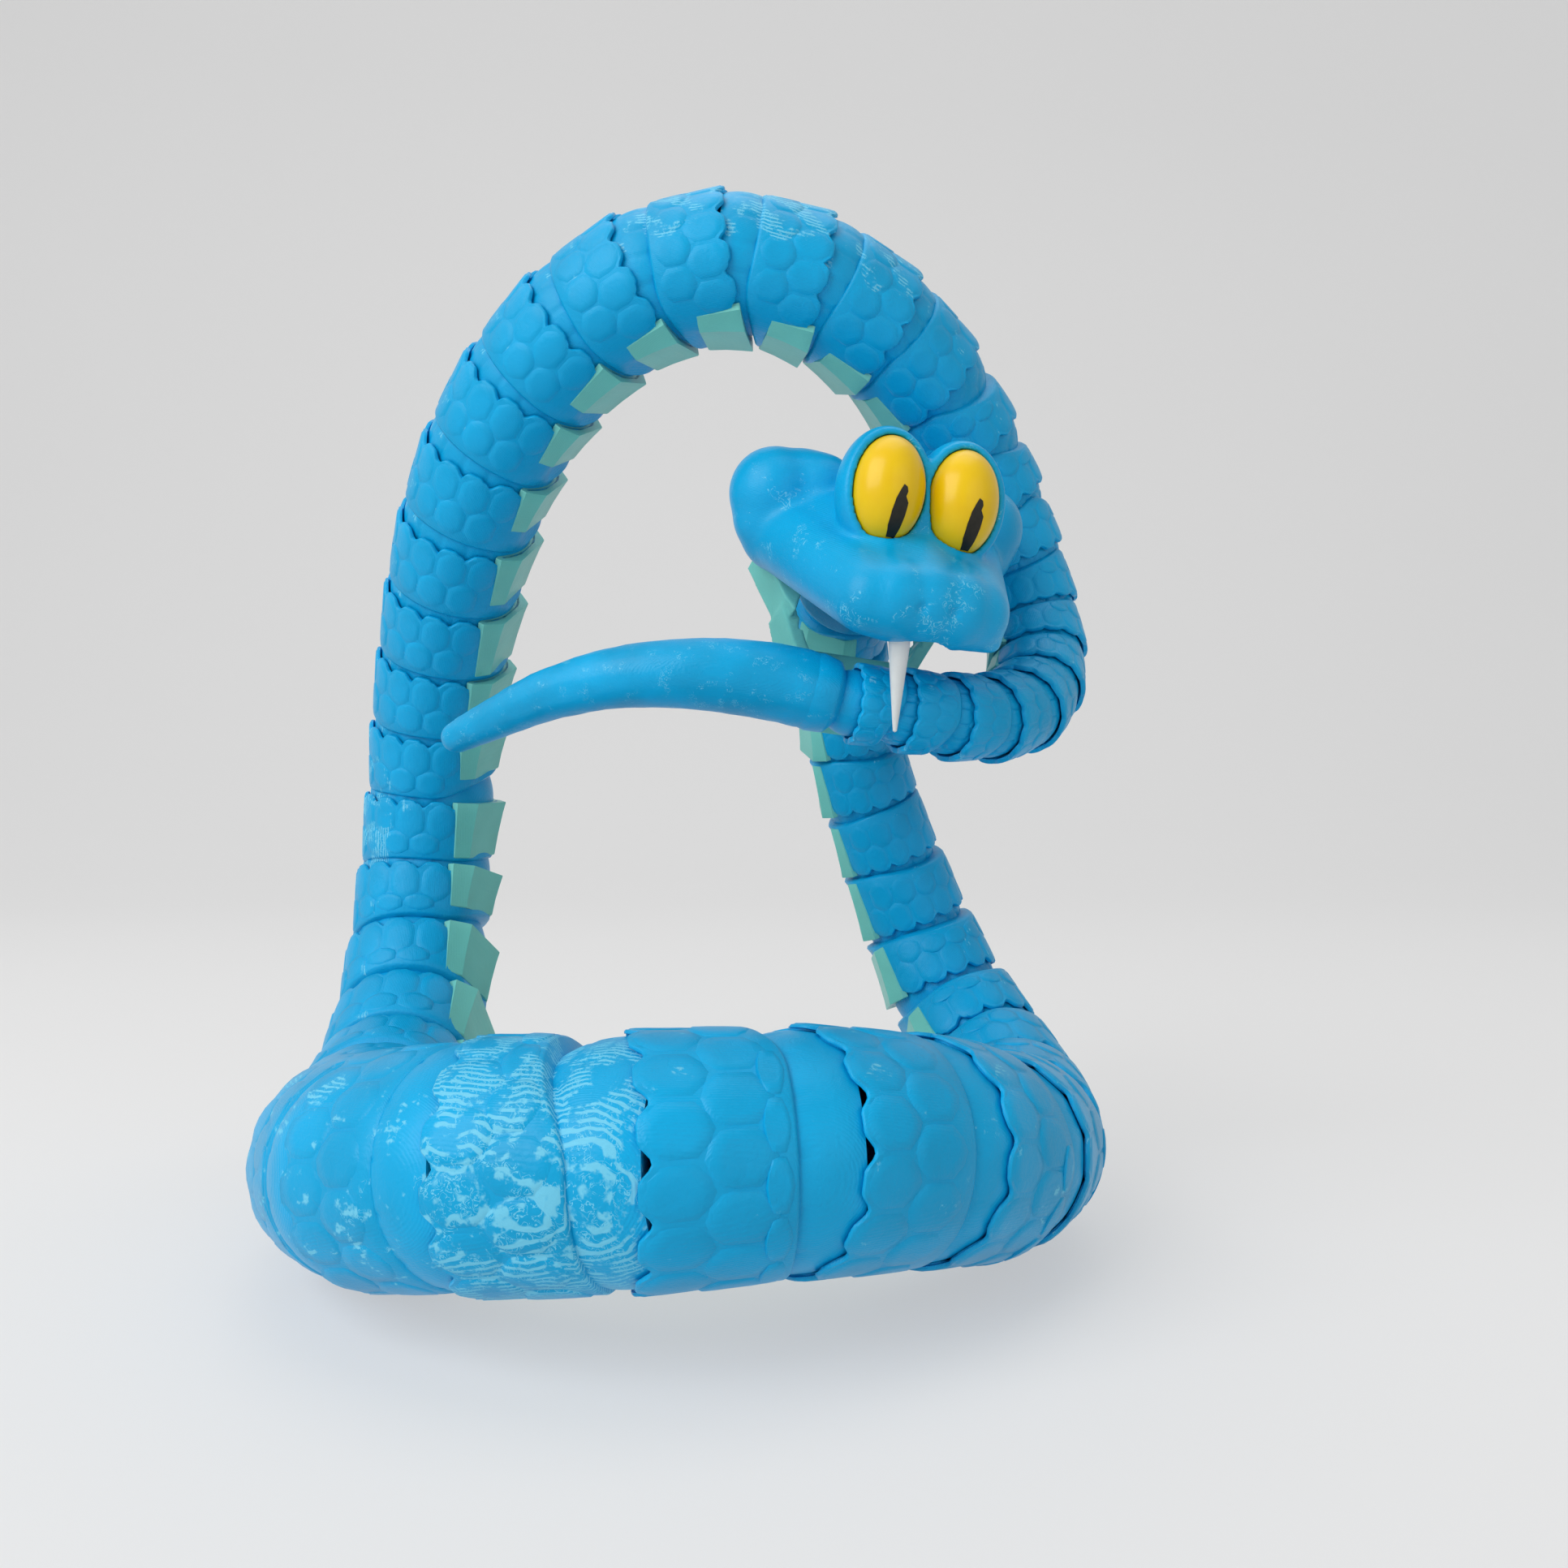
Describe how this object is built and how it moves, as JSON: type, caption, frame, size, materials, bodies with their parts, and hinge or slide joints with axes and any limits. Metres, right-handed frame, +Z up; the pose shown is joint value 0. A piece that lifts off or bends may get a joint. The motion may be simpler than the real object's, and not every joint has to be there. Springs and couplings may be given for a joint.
{
  "type": "articulated snake toy",
  "caption": "Printed articulated snake toy: a chain of hollow links on ball joints with a cartoon head, wrapped once round an upright arm.",
  "frame": {"origin": "middle of the belly plate of link_31, at the top of the arch, where the snake bears on the arm", "axes": "+Z up, +X to the viewer's right, +Y away from the viewer, in the wrapped pose"},
  "size_m": [0.2013, 0.1899, 0.2466],
  "materials": {
    "blue_print": "semi-gloss print with fine layer lines",
    "mint_print": "semi-gloss print",
    "yellow_print": "semi-gloss print",
    "black_print": "semi-gloss print",
    "white_print": "semi-gloss print"
  },
  "bodies": {
    "head": {"head_shell": "blue_print", "lower_jaw": "mint_print", "eye_left": "yellow_print", "eye_right": "yellow_print", "pupil_left": "black_print", "pupil_right": "black_print", "fang": "white_print"},
    "link_1": {"link_1": "blue_print"},
    "link_2": {"link_2": "blue_print"},
    "link_3": {"link_3": "blue_print"},
    "link_4": {"link_4": "blue_print"},
    "link_5": {"link_5": "blue_print"},
    "link_6": {"link_6": "blue_print"},
    "link_7": {"link_7": "blue_print"},
    "link_8": {"link_8": "blue_print"},
    "link_9": {"link_9": "blue_print"},
    "link_10": {"link_10": "blue_print"},
    "link_11": {"link_11": "blue_print"},
    "link_12": {"link_12": "blue_print"},
    "link_13": {"link_13": "blue_print"},
    "link_14": {"link_14": "blue_print"},
    "link_15": {"link_15": "blue_print"},
    "link_16": {"link_16": "blue_print"},
    "link_17": {"link_17": "blue_print"},
    "link_18": {"link_18": "blue_print"},
    "link_19": {"link_19": "blue_print"},
    "link_20": {"link_20": "blue_print"},
    "link_21": {"link_21": "blue_print"},
    "link_22": {"link_22": "blue_print"},
    "link_23": {"link_23": "blue_print"},
    "link_24": {"link_24": "blue_print"},
    "link_25": {"link_25": "blue_print"},
    "link_26": {"link_26": "blue_print"},
    "link_27": {"link_27": "blue_print"},
    "link_28": {"link_28": "blue_print"},
    "link_29": {"link_29": "blue_print"},
    "link_30": {"link_30": "blue_print"},
    "link_31": {"link_31": "blue_print"},
    "link_32": {"link_32": "blue_print"},
    "link_33": {"link_33": "blue_print"},
    "link_34": {"link_34": "blue_print"},
    "link_35": {"link_35": "blue_print"},
    "link_36": {"link_36": "blue_print"},
    "link_37": {"link_37": "blue_print"},
    "link_38": {"link_38": "blue_print"},
    "link_39": {"link_39": "blue_print"},
    "link_40": {"link_40": "blue_print"},
    "link_41": {"link_41": "blue_print"},
    "link_42": {"link_42": "blue_print"},
    "link_43": {"link_43": "blue_print"},
    "link_44": {"link_44": "blue_print"},
    "link_45": {"link_45": "blue_print"},
    "link_46": {"link_46": "blue_print"},
    "tail": {"tail_piece": "blue_print"}
  },
  "joints": [
    {"name": "neck_joint", "type": "hinge", "parent": "link_1", "child": "head", "pos_m": [0.04241, 0.01883, -0.05322], "axis": [0.1111, 0.5198, 0.847], "range_deg": [-30, 0.5]},
    {"name": "joint_1", "type": "hinge", "parent": "link_2", "child": "link_1", "pos_m": [0.04142, 0.03158, -0.06198], "axis": [0.2593, 0.6761, 0.6897], "range_deg": [-34, 0.5]},
    {"name": "joint_2", "type": "hinge", "parent": "link_3", "child": "link_2", "pos_m": [0.04269, 0.04074, -0.07488], "axis": [-0.0673, 0.8803, 0.4696], "range_deg": [-19, 0.5]},
    {"name": "joint_3", "type": "hinge", "parent": "link_4", "child": "link_3", "pos_m": [0.04605, 0.04666, -0.08969], "axis": [-0.2015, -0.9125, -0.3561], "range_deg": [-12, 6]},
    {"name": "joint_4", "type": "hinge", "parent": "link_5", "child": "link_4", "pos_m": [0.05074, 0.05076, -0.10517], "axis": [-0.005, 0.9728, 0.2317], "range_deg": [-14, 0.5]},
    {"name": "joint_5", "type": "hinge", "parent": "link_6", "child": "link_5", "pos_m": [0.0565, 0.05414, -0.1209], "axis": [-0.2229, -0.9479, -0.2278], "range_deg": [-10, 5]},
    {"name": "joint_6", "type": "hinge", "parent": "link_7", "child": "link_6", "pos_m": [0.06315, 0.05566, -0.13806], "axis": [-0.1786, -0.9838, 0.0135], "range_deg": [-9, 6]},
    {"name": "joint_7", "type": "hinge", "parent": "link_8", "child": "link_7", "pos_m": [0.07079, 0.05083, -0.15582], "axis": [-0.1468, -0.8911, 0.4293], "range_deg": [-5, 13]},
    {"name": "joint_8", "type": "hinge", "parent": "link_9", "child": "link_8", "pos_m": [0.07888, 0.03731, -0.17009], "axis": [-0.115, -0.6082, 0.7854], "range_deg": [-10, 8]},
    {"name": "joint_9", "type": "hinge", "parent": "link_10", "child": "link_9", "pos_m": [0.08347, 0.01704, -0.17974], "axis": [0.2646, 0.2809, -0.9225], "range_deg": [-0.5, 15]},
    {"name": "joint_10", "type": "hinge", "parent": "link_11", "child": "link_10", "pos_m": [0.08129, -0.00767, -0.18267], "axis": [0.482, -0.1226, -0.8675], "range_deg": [-0.5, 19]},
    {"name": "joint_11", "type": "hinge", "parent": "link_12", "child": "link_11", "pos_m": [0.07098, -0.0326, -0.1792], "axis": [0.328, -0.3822, -0.8639], "range_deg": [-0.5, 23]},
    {"name": "joint_12", "type": "hinge", "parent": "link_13", "child": "link_12", "pos_m": [0.0525, -0.05403, -0.17284], "axis": [-0.1785, 0.4463, 0.8769], "range_deg": [-18, 0.5]},
    {"name": "joint_13", "type": "hinge", "parent": "link_14", "child": "link_13", "pos_m": [0.02873, -0.0698, -0.16888], "axis": [0.348, -0.9026, -0.2535], "range_deg": [-0.5, 21]},
    {"name": "joint_14", "type": "hinge", "parent": "link_15", "child": "link_14", "pos_m": [-0.00088, -0.07534, -0.16932], "axis": [0.0015, -0.8755, -0.4832], "range_deg": [-0.5, 34]},
    {"name": "joint_15", "type": "hinge", "parent": "link_16", "child": "link_15", "pos_m": [-0.02896, -0.06841, -0.17195], "axis": [-0.2423, -0.7264, -0.6431], "range_deg": [-0.5, 13]},
    {"name": "joint_16", "type": "hinge", "parent": "link_17", "child": "link_16", "pos_m": [-0.05195, -0.05081, -0.1777], "axis": [-0.3424, -0.4905, -0.8013], "range_deg": [-0.5, 6]},
    {"name": "joint_17", "type": "hinge", "parent": "link_18", "child": "link_17", "pos_m": [-0.06505, -0.02499, -0.18312], "axis": [-0.6605, -0.3152, -0.6814], "range_deg": [-11, 0.5]},
    {"name": "joint_18", "type": "hinge", "parent": "link_19", "child": "link_18", "pos_m": [-0.06982, 0.0035, -0.1856], "axis": [0.6893, 0.0639, 0.7217], "range_deg": [-15, 3]},
    {"name": "joint_19", "type": "hinge", "parent": "link_20", "child": "link_19", "pos_m": [-0.07266, 0.03022, -0.181], "axis": [-0.7459, 0.1629, -0.6459], "range_deg": [-26, 0.5]},
    {"name": "joint_20", "type": "hinge", "parent": "link_21", "child": "link_20", "pos_m": [-0.07458, 0.05221, -0.16816], "axis": [0.8383, -0.3234, 0.439], "range_deg": [-0.5, 16]},
    {"name": "joint_21", "type": "hinge", "parent": "link_22", "child": "link_21", "pos_m": [-0.07582, 0.06628, -0.14886], "axis": [0.6831, -0.659, 0.3148], "range_deg": [-0.5, 31]},
    {"name": "joint_22", "type": "hinge", "parent": "link_23", "child": "link_22", "pos_m": [-0.07524, 0.07163, -0.12666], "axis": [-0.6882, 0.7251, -0.0271], "range_deg": [-17, 0.5]},
    {"name": "joint_23", "type": "hinge", "parent": "link_24", "child": "link_23", "pos_m": [-0.07334, 0.07042, -0.10474], "axis": [0.4845, -0.8516, -0.2001], "range_deg": [-0.5, 28]},
    {"name": "joint_24", "type": "hinge", "parent": "link_25", "child": "link_24", "pos_m": [-0.07083, 0.06436, -0.08458], "axis": [0.8545, -0.4126, -0.3156], "range_deg": [-0.5, 11]},
    {"name": "joint_25", "type": "hinge", "parent": "link_26", "child": "link_25", "pos_m": [-0.06636, 0.05534, -0.06608], "axis": [-0.844, 0.3288, 0.4238], "range_deg": [-13, 0.5]},
    {"name": "joint_26", "type": "hinge", "parent": "link_27", "child": "link_26", "pos_m": [-0.061, 0.0441, -0.04928], "axis": [-0.8367, 0.2536, 0.4854], "range_deg": [-17, 0.5]},
    {"name": "joint_27", "type": "hinge", "parent": "link_28", "child": "link_27", "pos_m": [-0.05435, 0.03247, -0.03342], "axis": [0.8075, -0.2188, -0.5478], "range_deg": [-0.5, 20]},
    {"name": "joint_28", "type": "hinge", "parent": "link_29", "child": "link_28", "pos_m": [-0.04574, 0.02195, -0.01792], "axis": [0.732, -0.2278, -0.6421], "range_deg": [-0.5, 19]},
    {"name": "joint_29", "type": "hinge", "parent": "link_30", "child": "link_29", "pos_m": [-0.03431, 0.01286, -0.0036], "axis": [-0.6983, 0.0557, 0.7137], "range_deg": [-17, 0.5]},
    {"name": "joint_30", "type": "hinge", "parent": "link_31", "child": "link_30", "pos_m": [-0.02009, 0.00494, 0.00852], "axis": [-0.5288, 0.0597, 0.8466], "range_deg": [-17, 0.5]},
    {"name": "joint_31", "type": "hinge", "parent": "link_31", "child": "link_32", "pos_m": [-0.00292, -0.00107, 0.01701], "axis": [0.3305, 0.2309, -0.9151], "range_deg": [-11, 0.5]},
    {"name": "joint_32", "type": "hinge", "parent": "link_32", "child": "link_33", "pos_m": [0.01674, -0.00319, 0.01979], "axis": [-0.0458, 0.7443, -0.6663], "range_deg": [-11, 0.5]},
    {"name": "joint_33", "type": "hinge", "parent": "link_33", "child": "link_34", "pos_m": [0.03546, 0.00006, 0.01581], "axis": [0.3058, -0.9521, 0.0073], "range_deg": [-0.5, 21]},
    {"name": "joint_34", "type": "hinge", "parent": "link_34", "child": "link_35", "pos_m": [0.05079, 0.00759, 0.00775], "axis": [-0.0666, -0.6924, -0.7184], "range_deg": [-7, 20]},
    {"name": "joint_35", "type": "hinge", "parent": "link_35", "child": "link_36", "pos_m": [0.06295, 0.01664, -0.0027], "axis": [-0.0314, 0.7987, 0.6009], "range_deg": [-34, 0.5]},
    {"name": "joint_36", "type": "hinge", "parent": "link_36", "child": "link_37", "pos_m": [0.07274, 0.02542, -0.01477], "axis": [-0.375, 0.8868, 0.2702], "range_deg": [-34, 0.5]},
    {"name": "joint_37", "type": "hinge", "parent": "link_37", "child": "link_38", "pos_m": [0.08076, 0.03197, -0.02816], "axis": [-0.6857, 0.7209, -0.1008], "range_deg": [-38, 5]},
    {"name": "joint_38", "type": "hinge", "parent": "link_38", "child": "link_39", "pos_m": [0.08705, 0.03521, -0.04244], "axis": [-0.8452, 0.4515, -0.2858], "range_deg": [-47, 5]},
    {"name": "joint_39", "type": "hinge", "parent": "link_39", "child": "link_40", "pos_m": [0.09113, 0.03334, -0.05672], "axis": [-0.8566, 0.4124, -0.3101], "range_deg": [-52, 0.5]},
    {"name": "joint_40", "type": "hinge", "parent": "link_40", "child": "link_41", "pos_m": [0.09218, 0.02586, -0.06905], "axis": [-0.788, 0.5003, -0.3589], "range_deg": [-49, 4]},
    {"name": "joint_41", "type": "hinge", "parent": "link_41", "child": "link_42", "pos_m": [0.08964, 0.01558, -0.07818], "axis": [-0.8214, 0.5105, -0.2543], "range_deg": [-45, 5]},
    {"name": "joint_42", "type": "hinge", "parent": "link_42", "child": "link_43", "pos_m": [0.08364, 0.00478, -0.08365], "axis": [-0.7893, 0.6124, -0.0444], "range_deg": [-37, 8]},
    {"name": "joint_43", "type": "hinge", "parent": "link_43", "child": "link_44", "pos_m": [0.0747, -0.00434, -0.086], "axis": [-0.6418, 0.7668, 0.0034], "range_deg": [-35, 11]},
    {"name": "joint_44", "type": "hinge", "parent": "link_44", "child": "link_45", "pos_m": [0.06442, -0.01136, -0.0859], "axis": [-0.4706, 0.8575, -0.208], "range_deg": [-32, 15]},
    {"name": "joint_45", "type": "hinge", "parent": "link_45", "child": "link_46", "pos_m": [0.05343, -0.01575, -0.08465], "axis": [0.3119, -0.8303, 0.4619], "range_deg": [-20, 31]},
    {"name": "tail_joint", "type": "hinge", "parent": "link_46", "child": "tail", "pos_m": [0.04241, -0.01818, -0.08322], "axis": [0.2749, -0.8547, 0.4403], "range_deg": [-18, 34]}
  ]
}
